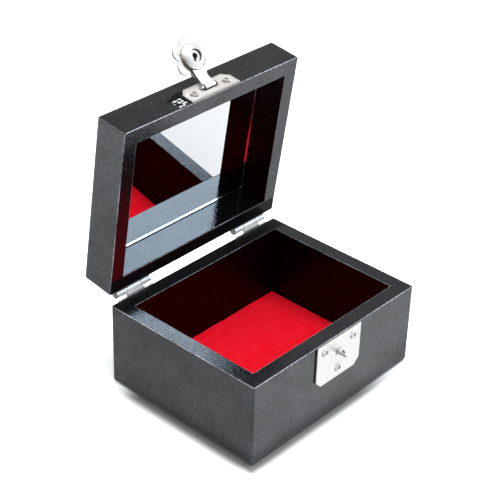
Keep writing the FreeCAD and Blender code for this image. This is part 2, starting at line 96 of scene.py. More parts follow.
# %% [markdown]
# ## Wiring a finish with plain arithmetic
# A finish is a small net of shader nodes. Drawing such a net by hand, we would drag a wire
# from node to node. Here a `Wire` is one end of such a wire, and adding or multiplying two
# wires makes the Math node that does it.

# %% Wire
class Wire:
    def __init__(self, net, socket):
        self.net = net
        self.socket = socket

    def math(self, operation, *others):
        inputs = {0: self}
        for index, other in enumerate(others):
            inputs[index + 1] = other
        return self.net.node("ShaderNodeMath", {"operation": operation}, inputs)

    def __add__(self, other):
        return self.math("ADD", other)

    def __sub__(self, other):
        return self.math("SUBTRACT", other)

    def __mul__(self, other):
        return self.math("MULTIPLY", other)

    def __rsub__(self, other):
        return self.net.node("ShaderNodeMath", {"operation": "SUBTRACT"}, {0: other, 1: self})

    __radd__ = __add__
    __rmul__ = __mul__

    def size(self):
        return self.math("ABSOLUTE")

    def most(self, other):
        return self.math("MAXIMUM", other)


print("a wire can also do:", [name for name in vars(Wire) if not name.startswith("_")])

# %% [markdown]
# A `Net` is the tree of nodes itself. Its `node` makes any node: it sets the node's own settings
# first, then fills its sockets. The methods below it make the nodes that are used most.

# %% Net
class Net:
    def __init__(self, tree):
        self.tree = tree
        self.tree.nodes.clear()

    def node(self, kind, settings, inputs, output=0):
        made = self.tree.nodes.new(kind)
        for name, value in settings.items():
            setattr(made, name, value)
        for key, value in inputs.items():
            if isinstance(value, Wire):
                self.tree.links.new(value.socket, made.inputs[key])
            elif isinstance(value, tuple) and len(made.inputs[key].default_value) == 4:
                made.inputs[key].default_value = (*value, 1)
            else:
                made.inputs[key].default_value = value
        return Wire(self, made.outputs[output]) if made.outputs else None

    def rise(self, value, low, high):
        """0 where value is under low, 1 where it is over high, smooth between."""
        settings = {"interpolation_type": "SMOOTHSTEP"}
        return self.node("ShaderNodeMapRange", settings, {0: value, 1: low, 2: high, 3: 0.0, 4: 1.0})

    def blend(self, share, first, second):
        """The first colour where share is 0, the second where it is 1."""
        return self.node("ShaderNodeMix", {"data_type": "RGBA"}, {0: share, 6: first, 7: second}, 2)

    def dot(self, first, second):
        """How far two directions agree: 1 the same way, 0 square on, -1 opposite."""
        inputs = {0: first, 1: second}
        return self.node("ShaderNodeVectorMath", {"operation": "DOT_PRODUCT"}, inputs, "Value")

    def length(self, vector):
        return self.node("ShaderNodeVectorMath", {"operation": "LENGTH"}, {0: vector}, "Value")

    def axes(self, vector):
        """The x, y and z of a vector, as three wires."""
        return [self.node("ShaderNodeSeparateXYZ", {}, {0: vector}, axis) for axis in "XYZ"]

    def ray(self, kind):
        """1 where a ray of this kind looks, such as Is Camera Ray, and 0 for all others."""
        return self.node("ShaderNodeLightPath", {}, {}, kind)

    def ramp(self, value, stops):
        """Colours set out along a value that goes from 0 to 1."""
        colours = self.node("ShaderNodeValToRGB", {}, {0: value})
        marks = colours.socket.node.color_ramp.elements
        for mark, (position, colour) in zip(marks, (stops[0], stops[-1])):
            mark.color = (*colour, 1)
        for position, colour in stops[1:-1]:
            marks.new(position).color = (*colour, 1)
        return colours

    def cloud(self, place, grain, detail=2.0, rough=0.5):
        """Soft random patches about one grain across, in millimetres."""
        inputs = {"Vector": place, "Scale": 1 / grain, "Detail": detail, "Roughness": rough}
        return self.node("ShaderNodeTexNoise", {}, inputs)

    def mix(self, share, first, second):
        """The first shader where share is 0, the second where it is 1."""
        return self.node("ShaderNodeMixShader", {}, {0: share, 1: first, 2: second})


print("a net can make:", [name for name in vars(Net) if not name.startswith("_")])

# %% [markdown]
# A `Finish` is the net of one material. It knows where the piece is and which way its surface
# faces. A pattern is worked out in millimetres, because that is how the real surface is
# measured.

# %% Finish
class Finish(Net):
    def __init__(self, name):
        self.material = bpy.data.materials.new(name)
        self.material.use_nodes = True
        super().__init__(self.material.node_tree)

    def point(self):
        """Where a point of the piece is, in metres."""
        return self.node("ShaderNodeTexCoord", {}, {}, "Object")

    def in_mm(self, point):
        return self.node("ShaderNodeVectorMath", {"operation": "SCALE"}, {0: point, "Scale": 1000.0})

    def place_mm(self):
        return self.in_mm(self.point())

    def stretched(self, place, scale):
        """The place with each axis scaled, which draws a pattern out along the axis scaled least."""
        return self.node("ShaderNodeMapping", {}, {"Vector": place, "Scale": scale})

    def facing(self, axis):
        """1 where the surface faces along the axis, 0 side on to it, -1 where it faces away."""
        return self.dot(self.node("ShaderNodeTexCoord", {}, {}, "Normal"), axis)

    def shut_in(self, reach):
        """1 deep in a corner, 0 on open surface. Reach is how far the walls may stand, in metres."""
        inputs = {"Distance": reach}
        open_air = self.node("ShaderNodeAmbientOcclusion", {"samples": 8}, inputs, "AO")
        return 1 - self.rise(open_air, 0.35, 0.85)

    def bump(self, height, depth, strength=1.0, normal=None):
        """Leans the surface by a height pattern that is depth metres from low to high."""
        inputs = {"Strength": strength, "Distance": depth, "Height": height}
        if normal is not None:
            inputs["Normal"] = normal
        return self.node("ShaderNodeBump", {}, inputs)

    def rounded(self, radius, samples):
        """The surface's direction, with each edge rounded to this radius in metres."""
        return self.node("ShaderNodeBevel", {"samples": samples}, {"Radius": radius})

    def flat(self):
        """The surface's direction as it is modelled."""
        return self.node("ShaderNodeNewGeometry", {}, {}, "Normal")

    def shader(self, **sockets):
        """A Principled shader with these sockets."""
        inputs = {name.replace("_", " "): value for name, value in sockets.items()}
        return self.node("ShaderNodeBsdfPrincipled", {}, inputs)

    def shown_by(self, shader):
        """The finished material, which shows this shader."""
        self.node("ShaderNodeOutputMaterial", {}, {0: shader})
        return self.material


print("a finish adds:", [name for name in vars(Finish) if not name.startswith("_")])

# %% [markdown]
# ## The studio
# The box stands on a white table in a white room. The main soft lamp hangs overhead, a little
# in front and to the right, so the box's short shadow falls to the left and behind. A second,
# bluish one stands at the front right: it shines in the lacquer below the mirror and, by way of
# the mirror, along the base's left rim. A third, a narrow one at the back left, draws the thin
# lights along the edges. The room lights the box gently, but the camera sees it as plain white.
# Metal and lacquer see it white too, except that it is darker towards the ceiling and dark
# behind the camera. The lamps are no brighter than it takes for a colour to come out as it is
# written.

# %% Room
room_light = 0.32
ceiling = 0.46
ceiling_starts, ceiling_full = 0.15, 0.55
behind_camera = 0.12
dark_starts, dark_full = 0.72, 0.92
chest_height = 0.15
bpy.context.scene.view_settings.view_transform = "Standard"
world = bpy.data.worlds.new("room")
bpy.context.scene.world = world
world.use_nodes = True
room = Net(world.node_tree)
direction = room.node("ShaderNodeTexCoord", {}, {}, "Generated")
up = room.axes(direction)[2]
white = 1 - room.rise(up, ceiling_starts, ceiling_full) * (1 - ceiling)
to_camera = Vector((camera_place[0], camera_place[1], chest_height)).normalized()
darkness = room.rise(room.dot(direction, to_camera), dark_starts, dark_full)
white = white * (1 - darkness * (1 - behind_camera))
print("the ceiling has", ceiling, "of full white, the room behind the camera", behind_camera)

# %% [markdown]
# The camera's own rays see the room at full white. Rays that leave a shiny surface or pass
# through one see it with its dark parts. All other rays carry the room's light to the box.

# %% Light of the room
camera_sees = room.ray("Is Camera Ray")
gloss_sees = room.ray("Is Glossy Ray").most(room.ray("Is Transmission Ray"))
strength = camera_sees + gloss_sees * (1 - camera_sees) * white
strength = strength + (1 - camera_sees.most(gloss_sees)) * room_light
backdrop = room.node("ShaderNodeBackground", {}, {"Color": (0.98, 0.99, 1.0), "Strength": strength})
room.node("ShaderNodeOutputWorld", {}, {0: backdrop})
print("the room gives", room_light, "of full light")


# %% Lamps
def soft_lamp(name, place, width, height, brightness, colour):
    """A flat lamp that looks at the box. Brightness is how many times white its face is."""
    bpy.ops.object.light_add(type="AREA", location=place)
    lamp = bpy.context.object
    lamp.name = name
    lamp.data.shape = "RECTANGLE"
    lamp.data.size = width
    lamp.data.size_y = height
    lamp.data.energy = brightness * math.pi * width * height
    lamp.data.color = colour
    lamp.rotation_euler = (Vector((0, 0, 0.05)) - Vector(place)).to_track_quat("-Z", "Y").to_euler()
    return lamp


soft_lamp("overhead_lamp", (0.08, -0.12, 1.0), 0.6, 0.6, 9.0, (1.0, 0.99, 0.98))
soft_lamp("side_lamp", (0.76, -0.72, 0.62), 0.5, 0.46, 5.4, (0.68, 0.83, 0.96))
soft_lamp("edge_lamp", (-0.60, 0.63, 0.60), 0.14, 0.40, 22.0, (0.95, 0.98, 1.0))

# %% [markdown]
# The table is white card. Where it is lit it has to come out as clean white, and still show
# the box's shadow. So the camera sees its white a good deal brighter than the light that it
# sends back to the box. What the lacquer and the mirror reflect of it is less even: a strip to
# the left of the box, and the place on its right where the mirror looks, are painted darker for
# the rays that reflect them, as painted shade.

# %% Table top
card_white, card_seen, card_reflected = 0.88, 1.65, 0.15
shade_left, shade_right, shade_near = 0.36, 0.20, 0.07
bpy.ops.mesh.primitive_plane_add(size=6.0, location=(0, 0, 0))
table = bpy.context.object
table.name = "table_top"
card = Finish("white_card")
place = card.place_mm()
sideways, backward, _ = card.axes(place)
looked_at, reflected = card.ray("Is Camera Ray"), card.ray("Is Glossy Ray")
near_left = card.rise(sideways, -45.0, -75.0) * card.rise(sideways, -220.0, -110.0)
beside = card.rise(sideways, 40.0, 55.0) * card.rise(backward, -60.0, -45.0)
beside_shade = shade_right + card.rise(sideways, 135.0, 85.0) * shade_near
# Painted shade on the card, seen only by the rays that reflect it.
shaded = near_left * shade_left + beside * beside_shade
white = looked_at * (card_seen - card_white) + reflected * (card_reflected - shaded) + card_white
print("table top is", round(table.dimensions.x, 1), "m wide")

# %% [markdown]
# The box's foot has a dark shadow close round its front left corner, softer than a lamp above
# would draw it. It is laid on the card as the distance from a rectangle as large as the foot,
# set a little to the left and the front, and fades out towards the right and the back. Far
# from the box a faint glow of the card's own hides where the lamps fall off.

# %% Shadow at the foot, and the far glow
foot_left, foot_front = 1.3, 1.1
shadow_inner, shadow_outer = -0.5, 6.5
shadow_seen, shadow_reflected = 0.88, 0.4
far_glow = 0.35
out_left = ((sideways + foot_left).size() - box_half_width).most(0.0)
out_front = ((backward + foot_front).size() - box_half_depth).most(0.0)
outside = card.length(card.node("ShaderNodeCombineXYZ", {}, {0: out_left, 1: out_front}))
foot = (1 - card.rise(outside, shadow_inner, shadow_outer)) * (1 - card.rise(backward, 24.0, 42.0))
foot = foot * (1 - card.rise(sideways, 15.0, 62.0))
white = white * (1 - foot * (looked_at * shadow_seen).most(reflected * shadow_reflected))
matt = card.node("ShaderNodeBsdfDiffuse", {}, {"Color": white})
glow = card.rise(card.length(place), 250.0, 900.0) * looked_at.most(reflected) * far_glow
glow = card.node("ShaderNodeEmission", {}, {"Color": (1.0, 1.0, 1.0), "Strength": glow})
both = card.node("ShaderNodeAddShader", {}, {0: matt, 1: glow})
table.data.materials.append(card.shown_by(both))
print("the foot's shadow reaches", shadow_outer, "mm out")

# %% [markdown]
# ## Black lacquer
# The boards are sprayed with black lacquer and rubbed down by hand, not polished. Close up that
# leaves two surfaces: most of it keeps the bluish gloss of the spray, and in patches and specks
# the rubbing has left it softer. Over both goes the fine ripple that sprayers call orange peel,
# with dust nibs that catch the light. Handling has worn the thin edges through to grey, and that
# grey line is also a painted highlight, for the light that the rounded edges catch.
#
# The finish asks where a point is: inside or outside, and how near an edge. The lid's boards
# stand open, so their points are first swung back to where they are with the lid shut. Then
# both halves of the box use the same measures.

# %% Lacquer and its patterns
class Lacquer(Finish):
    """A finish that knows where its points are with the lid shut. Wheel is how far the polishing
    wheel has left the ripple and dust standing: 1 not polished at all, 0 dead smooth."""

    def __init__(self, name, on_lid, wheel):
        super().__init__(name)
        point = self.point()
        if on_lid:
            turned = {"Vector": point, "Center": tuple(hinge_place), "Angle": lid_swing}
            point = self.node("ShaderNodeVectorRotate", {"rotation_type": "X_AXIS"}, turned)
        self.place = self.in_mm(point)
        self.x, self.y, self.z = self.axes(self.place)
        self.low, self.high = (rim_level, lid_top_level) if on_lid else (0.0, rim_level)
        self.floor = rim_level + 0.2 if on_lid else 1.0
        self.roof = lid_top_level - 1.0 if on_lid else rim_level - 0.2
        self.wheel = wheel
        peel, self.grit = self.cloud(self.place, 1.1), self.cloud(self.place, 0.6, 1.0)
        self.height = 0.6 * peel + 0.4 * self.grit
        self.mottle = self.cloud(self.place, 14.0, 4.0, 0.65)
        self.dull = self.rise(self.mottle, 0.1, 0.9)
        self.speckle = self.rise(self.cloud(self.place, 1.0, 1.0), 0.38, 0.62)


print("the base's boards reach from 0 to", rim_level, "mm, the lid's to", lid_top_level)

# %% [markdown]
# A share of 1 or 0 says where a point is. The inside begins at the walls' inner faces and ends
# just short of the rims. An edge counts by how near it is: the twelve outer edges of the half
# box, and the four that run round its opening.

# %% Inside, and near an edge
def inside_box(finish):
    in_x = 1 - finish.rise(finish.x.size(), opening_half_width + 0.05, opening_half_width + 0.3)
    in_y = 1 - finish.rise(finish.y.size(), opening_half_depth + 0.05, opening_half_depth + 0.3)
    over = finish.rise(finish.z, finish.floor - 0.2, finish.floor)
    under = 1 - finish.rise(finish.z, finish.roof, finish.roof + 0.2)
    return in_x * in_y * over * under


def near_edge(finish, reach, corners=1.0):
    """1 on an edge, 0 farther from it than the reach in mm. Corners weighs the upright edges."""
    def by(value, level):
        return 1 - finish.rise((value - level).size(), reach / 8, reach)

    def within(value, level):
        return 1 - finish.rise(value.size(), level, level + 0.3)

    side, end = by(finish.x.size(), box_half_width), by(finish.y.size(), box_half_depth)
    top = by(finish.z, finish.high).most(by(finish.z, finish.low))
    outer = (side * end * corners).most(side * top).most(end * top)
    inner_side = by(finish.x.size(), opening_half_width) * within(finish.y, opening_half_depth)
    inner_end = by(finish.y.size(), opening_half_depth) * within(finish.x, opening_half_width)
    return outer.most(by(finish.z, rim_level) * inner_side.most(inner_end) * 0.7)


print("the opening is", 2 * opening_half_width, "by", 2 * opening_half_depth, "mm")

# %% [markdown]
# The black is never quite black. It drifts from a bluish to a reddish charcoal, is paler in
# specks, and has dust in it. The edge is painted grey in dashes, as wear, because the rubbing
# only takes the high spots, and as a painted highlight along the rounded edge. It is stronger
# where hands take hold of the box.

# %% Colour and surface of the black
blue_black, red_black = (0.0010, 0.0016, 0.0020), (0.0024, 0.0016, 0.0018)
speck_black, dust_grey, worn_and_highlight_grey = (0.006, 0.006, 0.007), (0.08, 0.085, 0.10), (0.55, 0.58, 0.66)


def black_colour(finish):
    nibs = finish.rise(finish.grit, 0.66, 0.74)
    dashes = finish.rise(finish.cloud(finish.place, 1.3, 2.0, 0.6), 0.36, 0.52)
    handled = finish.rise(finish.cloud(finish.place, 22.0, 1.0), 0.30, 0.60) * 0.7 + 0.3
    # The grey edge line: wear, and a painted highlight along the edge.
    worn_and_highlight = near_edge(finish, 0.45, corners=0.3) * (dashes * 0.7 + 0.3) * handled
    colour = finish.blend(finish.mottle, blue_black, red_black)
    colour = finish.blend(finish.speckle * 0.4, colour, speck_black)
    colour = finish.blend(nibs * (0.5 * finish.wheel), colour, dust_grey)
    return finish.blend(worn_and_highlight * 0.9, colour, worn_and_highlight_grey)


def rippled(finish):
    """The surface's direction: rounded at the edges, with the orange peel over all."""
    directions = {0: near_edge(finish, 1.0), 4: finish.flat(), 5: finish.rounded(0.0006, 12)}
    leaning = finish.node("ShaderNodeMix", {"data_type": "VECTOR"}, directions, 1)
    return finish.bump(finish.height, 0.00016 * finish.wheel, 0.8, leaning)


print("the black drifts from", blue_black, "to", red_black)

# %% Gloss left by the gun, and rubbed patches
patch_share, speck_share, polished_share = 0.34, 0.5, 0.32


def glossy_and_rubbed(finish, colour, lean):
    wheel = finish.wheel
    glossy = finish.shader(
        Base_Color=colour,
        Roughness=finish.dull * (0.05 * wheel) + 0.09 * wheel,
        Specular_IOR_Level=0.92,
        Specular_Tint=(0.86, 0.94, 1.0),
        Normal=lean,
    )
    rubbed = finish.shader(
        Base_Color=colour,
        Roughness=0.20 * wheel,
        Specular_IOR_Level=0.42,
        Specular_Tint=(1.0, 0.90, 0.93),
        Normal=lean,
    )
    patches = finish.rise(finish.mottle, 0.38, 0.62) * (patch_share * wheel)
    patches = patches + finish.speckle * (speck_share * wheel) + (1 - wheel) * polished_share
    return finish.mix(patches, glossy, rubbed)


print("rubbing has softened", patch_share, "of the gloss in patches and", speck_share, "in specks")

# %% [markdown]
# Four boards need a little more. Three of them, at the back of base and lid and on the lid's
# left, have rims that were never rubbed up, so there the gloss gives way to a dull black. The
# fourth is the lid's front. Beside the clasp it has a few leaves brushed in matt black. Each
# stroke is an ellipse with a ragged edge, in millimetres with the lid shut: its middle, half
# its length, half its width, and how far it leans, in degrees.

# %% Dull rims and painted leaves
leaves = [((-19.6, 48.3), 3.6, 0.75, 16), ((-14.6, 49.7), 3.4, 0.95, 4), ((-16.6, 47.9), 3.2, 0.9, 10),
          ((-17.3, 44.2), 3.4, 1.6, 24), ((-16.2, 45.9), 3.6, 1.5, 2)]


def with_dull_rim(finish, outer, colour, lean, share):
    unrubbed = finish.shader(
        Base_Color=colour,
        Roughness=finish.dull * 0.1 + 0.45,
        Specular_IOR_Level=0.05,
        Normal=lean,
    )
    on_rim = 1 - finish.rise((finish.z - rim_level).size(), 0.25, 0.4)
    return finish.mix(on_rim * share, outer, unrubbed)


def painted_leaf(finish, ragged, middle, half_long, half_wide, lean):
    """1 inside a leaf-shaped brush stroke with a ragged edge."""
    cosine, sine = math.cos(math.radians(lean)), math.sin(math.radians(lean))
    from_middle_x, from_middle_z = finish.x - middle[0], finish.z - middle[1]
    along = from_middle_x * (cosine / half_long) + from_middle_z * (sine / half_long)
    across = from_middle_z * (cosine / half_wide) - from_middle_x * (sine / half_wide)
    return 1 - finish.rise(along * along + across * across + ragged, 1.1, 1.7)


def with_leaves(finish, outer, lean):
    ragged = finish.cloud(finish.place, 0.7, 1.0)
    painted = painted_leaf(finish, ragged, *leaves[0])
    for leaf in leaves[1:]:
        painted = painted_leaf(finish, ragged, *leaf).most(painted)
    ink = finish.shader(
        Base_Color=finish.blend(finish.speckle, (0.0006, 0.0006, 0.0008), (0.004, 0.004, 0.005)),
        Roughness=finish.dull * 0.1 + 0.35,
        Specular_IOR_Level=0.05,
        Normal=lean,
    )
    on_front = 1 - finish.rise(finish.y, 0.2 - box_half_depth, 0.4 - box_half_depth)
    return finish.mix(painted * on_front * 0.9, outer, ink)


print("leaves beside the clasp:", len(leaves))

# %% [markdown]
# Inside, the boards are stained dark red under a thin coat. The board under the mirror is the
# exception: it is black and polished on its inner face as well, and shines like the mirror.

# %% The whole finish
polished_wheel = 0.45


def stained(finish):
    return finish.shader(
        Base_Color=finish.blend(finish.mottle, (0.004, 0.0002, 0.0003), (0.007, 0.0004, 0.0005)),
        Roughness=finish.dull * 0.10 + 0.22,
        Specular_IOR_Level=0.06,
        Normal=finish.bump(finish.height, 0.00003, 0.5),
    )


def lacquer(name, on_lid, polished=False, leafy=False, dull_rim=0.0):
    finish = Lacquer(name, on_lid, polished_wheel if polished else 1.0)
    colour, lean = black_colour(finish), rippled(finish)
    outer = glossy_and_rubbed(finish, colour, lean)
    if dull_rim > 0.0:
        outer = with_dull_rim(finish, outer, colour, lean, dull_rim)
    if leafy:
        outer = with_leaves(finish, outer, lean)
    if polished:
        return finish.shown_by(outer)
    return finish.shown_by(finish.mix(inside_box(finish), outer, stained(finish)))


print("the polished board keeps", polished_wheel, "of the ripple")

# %% Give the boards their lacquer
def dress(names, material):
    for name in names:
        for slot in nodes[name].material_slots:
            slot.material = material


base_boards = [name for name in nodes if name.startswith("base_")]
lid_boards = [name for name in nodes if name.startswith("lid_")]
dress(base_boards, lacquer("black_lacquer_base", False))
dress(lid_boards, lacquer("black_lacquer_lid", True))
dress(["lid_back_wall"], lacquer("black_lacquer_lid_back", True, polished=True, dull_rim=0.85))
dress(["lid_front_wall"], lacquer("black_lacquer_lid_front", True, leafy=True))
dress(["lid_left_wall"], lacquer("black_lacquer_lid_left", True, dull_rim=0.45))
dress(["base_back_wall"], lacquer("black_lacquer_base_back", False, dull_rim=0.80))
print("lacquered boards:", len(base_boards), "on the base and", len(lid_boards), "on the lid")


# %% [markdown]
# ## Nickel plate and steel screws
# The hinges, plates, strap and drum are thin steel, stamped and nickel plated. The plating is
# matt with age, so it is mixed: a little over half of it behaves as metal. It keeps the rolling
# marks of the sheet under it as a very fine grain, and has stains and a few brown pits. In corners,
# on its cut sides and where it faces down to the left it is painted a tarnish brown: this is
# painted shade, with some real tarnish in the corners. A stamped plate has a shallow groove inside
# its rim, and a brown line is painted where it runs, for its dirt and its shade. A Bevel node finds
# where it runs: with a wide radius its direction begins to lean some way in from the edge. With a
# narrow one it rounds the edge for the eye, which is where the light catches.

# %% Colour of the plating
tarnish_and_shade_brown, pit_brown, groove_dirt_and_shade_brown = (0.075, 0.055, 0.035), (0.42, 0.38, 0.33), (0.20, 0.15, 0.11)
shaded_low_left = tuple(Vector((-0.85, -0.30, -0.43)).normalized())
shaded_front_left = tuple(Vector((-0.70, -0.66, 0.12)).normalized() * 1.6)


def plated_colour(finish, place, stain, pits, colour):
    speck = finish.rise(finish.cloud(place, 0.8, 1.0), 0.35, 0.65)
    duller = tuple(value * 0.86 for value in colour)
    plate = finish.blend(finish.rise(stain, 0.35, 0.75) * 0.4 + speck * 0.5, colour, duller)
    return finish.blend(pits * 0.5, plate, pit_brown)


def tarnished_and_shaded(finish, plate, corner, shaded_way, sheet):
    """Corner is how deep a corner has to be, in metres. Sheet is the way that the sheet faces."""
    # Painted shade in the tarnish brown: in corners that ambient occlusion finds, where there is some
    # tarnish too, on the side facing the shaded way, and on the sheet's cut sides.
    plate = finish.blend(finish.shut_in(corner) * 0.9, plate, tarnish_and_shade_brown)
    plate = finish.blend(finish.rise(finish.facing(shaded_way), 0.6, 0.9) * 0.85, plate, tarnish_and_shade_brown)
    if sheet is None:
        return plate
    cut_side = 1 - finish.rise(finish.facing(sheet).size(), 0.2, 0.6)
    return finish.blend(cut_side * 0.8, plate, tarnish_and_shade_brown)


def grooved(finish, plate, rim):
    """Rim is how far in from the edge the groove lies, in metres."""
    # A brown line painted where the groove runs: the groove's dirt and its painted shade.
    level = finish.dot(finish.flat(), finish.rounded(rim, 10))
    groove = finish.rise(level, 0.995, 0.975) * finish.rise(level, 0.86, 0.92)
    return finish.blend(groove * 0.75, plate, groove_dirt_and_shade_brown)


# The tarnish brown stands for painted shade, with tarnish in the corners; the groove brown for the
# groove's dirt and its painted shade.
print("tarnish is", tarnish_and_shade_brown, "and the dirt in a groove", groove_dirt_and_shade_brown)

# %% Nickel
metal_share = 0.55


def nickel(name, colour, shine, edge, corner=0.0011, sheet=None, shaded_way=shaded_low_left, rim=None):
    finish = Finish(name)
    place = finish.place_mm()
    grain = finish.cloud(finish.stretched(place, (1.0, 6.0, 6.0)), 1.6, 3.0, 0.6)
    stain = finish.cloud(place, 3.5, 3.0, 0.6)
    pits = finish.rise(finish.cloud(place, 0.5, 1.0), 0.66, 0.74)
    plate = plated_colour(finish, place, stain, pits, colour)
    plate = tarnished_and_shaded(finish, plate, corner, shaded_way, sheet)
    if rim is not None:
        plate = grooved(finish, plate, rim)
    return finish.shown_by(finish.shader(
        Base_Color=plate,
        Metallic=metal_share,
        Roughness=finish.rise(stain, 0.3, 0.8) * 0.08 + grain * 0.08 + shine,
        Normal=finish.bump(grain * 0.7 + pits * -0.6, 0.00002, 0.5, finish.rounded(edge, 6)),
    ))


print("the plating behaves as metal for", metal_share, "of it")

# %% Plate the hinges, the clasp and the screws
warm, pale, grey = (0.84, 0.825, 0.80), (0.92, 0.915, 0.90), (0.66, 0.64, 0.60)
screw_steel, hasp_screw_steel = (0.78, 0.765, 0.74), (0.70, 0.68, 0.65)
fine, finest = 0.00018, 0.00012
lid_front = (0.0, -math.cos(lid_swing), math.sin(lid_swing))
base_front = (0.0, 1.0, 0.0)
screws = [name for name in nodes if name.endswith("_screws")]
hinges = [name for name in nodes if name.startswith("hinge_") and name not in screws]
clasp = ["hasp_strap", "hasp_pin", "lock_drum", "catch_pin"]
# Each nickel finish paints shade in its corners, on the side facing the shaded way, and on its cut sides
# where a sheet is given.
dress(hinges, nickel("nickel_hinges", pale, 0.32, fine, 0.0004))
dress(["hasp_plate"], nickel("nickel_hasp_plate", warm, 0.24, fine, sheet=lid_front, rim=0.0016))
dress(["catch_plate"], nickel("nickel_catch_plate", warm, 0.24, fine, sheet=base_front, rim=0.0007))
dress(clasp, nickel("nickel_clasp", warm, 0.24, fine))
dress(["lock_cam"], nickel("nickel_cam", grey, 0.30, finest, 0.0016))
dress(screws, nickel("nickel_screws", screw_steel, 0.34, finest))
# The hasp screws' domes get their painted shade on the side that faces front left.
hasp_screws = nickel("nickel_hasp_screws", hasp_screw_steel, 0.42, finest, shaded_way=shaded_front_left)
dress(["hasp_plate_screws"], hasp_screws)
print("plated:", len(hinges), "hinge pieces, the clasp, and", len(screws), "sets of screws")


# %% [markdown]
# ## The mirror and its glue
# The mirror is a thin sheet of glass silvered on its back. What we see is the silver, and
# round it the cut sides of the glass, which from inside the sheet shine as bright as the
# silver does. That is why a thin bright line runs round a real mirror. A tray has the same
# form: a block a hair smaller than the glass, whose front is inset and pushed back almost half
# way, so the silver lies deep and the sides stand up round it.

# %% Measure the mirror with the lid shut
swing_open = Matrix.Translation(hinge_place) @ Matrix.Rotation(-lid_swing, 4, "X")
swing_open = swing_open @ Matrix.Translation(-hinge_place)
shut = [swing_open.inverted() @ v.co for v in nodes["mirror_glass"].data.vertices]
glass_low = Vector([min(v[axis] for v in shut) for axis in range(3)])
glass_high = Vector([max(v[axis] for v in shut) for axis in range(3)])
glass_size = glass_high - glass_low
print("glass, mm:", [round(v * 1000, 2) for v in glass_size])


# %% Mirror plate
def freeze(piece):
    """Puts the place, turn and size of the picked pieces into their meshes. The piece argument is not
    used.
    """
    bpy.ops.object.transform_apply(location=True, rotation=True, scale=True)


def pick_faces(piece, way):
    """Opens edit mode with only the faces that look this way picked."""
    bpy.ops.object.mode_set(mode="EDIT")
    bpy.ops.mesh.select_mode(type="FACE")
    bpy.ops.mesh.select_all(action="DESELECT")
    bpy.ops.object.mode_set(mode="OBJECT")
    for face in piece.data.polygons:
        face.select = face.normal.dot(way) > 0.9
    bpy.ops.object.mode_set(mode="EDIT")


glass_lip = 0.00012
glass_trim = 0.0002
silver_behind = 0.00055
bpy.ops.mesh.primitive_cube_add(size=1.0, location=(glass_low + glass_high) / 2)
mirror = bpy.context.object
mirror.name = "mirror_plate"
mirror.scale = (glass_size.x - 2 * glass_trim, glass_size.y - 2 * glass_trim, glass_size.z)
freeze(mirror)
pick_faces(mirror, Vector((0, 0, -1)))
bpy.ops.mesh.inset(thickness=glass_lip, depth=0.0)
into = glass_size.z - silver_behind
bpy.ops.mesh.extrude_region_move(TRANSFORM_OT_translate={"value": (0, 0, into)})
bpy.ops.object.mode_set(mode="OBJECT")
mirror.matrix_world = swing_open
freeze(mirror)
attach(mirror, "lid")
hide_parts("mirror_glass")
print("mirror plate has", len(mirror.data.polygons), "faces")


# %% Silver and glue
def silver_finish():
    finish = Finish("silvered_glass")
    place = finish.place_mm()
    smear = finish.cloud(finish.stretched(place, (1.0, 0.25, 0.25)), 9.0, 4.0, 0.6)
    smear = finish.rise(smear, 0.45, 0.75)
    dust = finish.rise(finish.cloud(place, 0.6, 1.0), 0.70, 0.76)
    silver = finish.blend(dust * 0.25, (0.83, 0.85, 0.87), (0.70, 0.72, 0.74))
    glass_normal = tuple(swing_open.to_3x3() @ Vector((0, 0, 1)))
    cut_side = 1 - finish.rise(finish.facing(glass_normal).size(), 0.3, 0.7)
    return finish.shown_by(finish.shader(
        Base_Color=silver,
        Metallic=1.0,
        Roughness=smear * 0.02 + dust * 0.05 + cut_side * 0.12 + 0.012,
    ))


def glue_finish():
    finish = Finish("dried_glue")
    place = finish.place_mm()
    lumps = finish.cloud(place, 5.0, 3.0, 0.6)
    return finish.shown_by(finish.shader(
        Base_Color=finish.blend(lumps, (0.42, 0.33, 0.16), (0.58, 0.48, 0.26)),
        Roughness=lumps * 0.2 + 0.4,
        Normal=finish.bump(lumps, 0.0001, 0.5),
    ))


mirror.data.materials.append(silver_finish())
dress(["mirror_adhesive"], glue_finish())
print("mirror and glue dressed")


# %% [markdown]
# ## Mother-of-pearl
# Shell is built of thin layers, so it changes from white to pink and green as the layers turn
# to the light, in bands that follow the shell's growth. Each cut piece comes from another
# place on the shell, so the bands are bent by a slow noise. The large inlay on the lid's top is
# quiet and white. The small slivers beside the clasp are cut from livelier shell. A clear coat
# stands for the polish, and the surface ripples a little along the bands.

# %% Pearl
quiet = [(0.0, (0.86, 0.84, 0.80)), (0.3, (0.80, 0.70, 0.74)), (0.55, (0.68, 0.82, 0.78)),
         (0.8, (0.93, 0.88, 0.78)), (1.0, (0.92, 0.90, 0.88))]
lively = [(0.0, (0.98, 0.98, 1.0)), (0.35, (0.66, 0.84, 0.98)), (0.5, (0.52, 0.86, 0.70)),
          (0.62, (1.0, 0.56, 0.34)), (0.72, (0.98, 0.95, 0.98)), (1.0, (1.0, 1.0, 1.0))]


def pearl_finish(name, band, stops):
    finish = Finish(name)
    place = finish.place_mm()
    bend = finish.cloud(place, 9.0)
    bands = finish.node(
        "ShaderNodeTexWave",
        {"bands_direction": "DIAGONAL"},
        {"Vector": place, "Scale": 0.3 / band, "Distortion": 9.0, "Detail": 3.0, "Detail Scale": 0.4},
    )
    lustre = finish.ramp(bands * 0.6 + bend * 0.4, stops)
    return finish.shown_by(finish.shader(
        Base_Color=finish.blend(bend * 0.2, lustre, (0.72, 0.80, 0.92)),
        Metallic=0.25,
        Roughness=bands * 0.12 + 0.22,
        Coat_Weight=1.0,
        Coat_Roughness=0.08,
        Normal=finish.bump(bands, 0.00003, 0.5),
    ))


